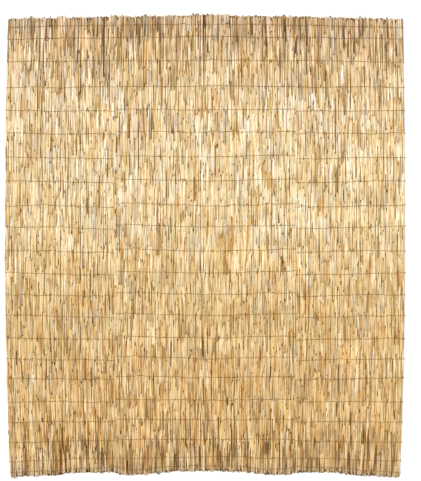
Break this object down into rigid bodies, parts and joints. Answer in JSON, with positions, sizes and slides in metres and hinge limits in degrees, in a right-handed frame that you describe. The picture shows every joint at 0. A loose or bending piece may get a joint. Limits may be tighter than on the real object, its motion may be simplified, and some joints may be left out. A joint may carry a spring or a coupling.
{
  "type": "bamboo reed screening",
  "caption": "Flat length of natural reed screening: thin straw-coloured reeds side by side, bound by closely spaced courses of wire.",
  "frame": {"origin": "middle of the underside, on the floor that the back wires lie on", "axes": "+X along the wires to the right of the face, +Y along the reeds to the top edge, +Z out of the face"},
  "size_m": [1.545, 1.8, 0.0193],
  "materials": {
    "reed": "natural, dry and matt",
    "wire": "dull, weathered binding wire"
  },
  "bodies": {
    "root": {"back_reeds_1": "reed", "back_reeds_2": "reed", "back_reeds_3": "reed", "back_reeds_4": "reed", "back_reeds_5": "reed", "back_reeds_6": "reed", "back_reeds_7": "reed", "back_reeds_8": "reed", "back_reeds_9": "reed", "front_reeds_1": "reed", "front_reeds_2": "reed", "front_reeds_3": "reed", "front_reeds_4": "reed", "front_reeds_5": "reed", "front_reeds_6": "reed", "front_reeds_7": "reed", "front_reeds_8": "reed", "front_reeds_9": "reed", "wire_course_01": "wire", "wire_course_02": "wire", "wire_course_03": "wire", "wire_course_04": "wire", "wire_course_05": "wire", "wire_course_06": "wire", "wire_course_07": "wire", "wire_course_08": "wire", "wire_course_09": "wire", "wire_course_10": "wire", "wire_course_11": "wire", "wire_course_12": "wire", "wire_course_13": "wire", "wire_course_14": "wire", "wire_course_15": "wire", "wire_course_16": "wire", "wire_course_17": "wire", "wire_course_18": "wire", "wire_course_19": "wire", "wire_course_20": "wire", "wire_course_21": "wire", "wire_course_22": "wire", "stitches": "wire"}
  },
  "joints": []
}
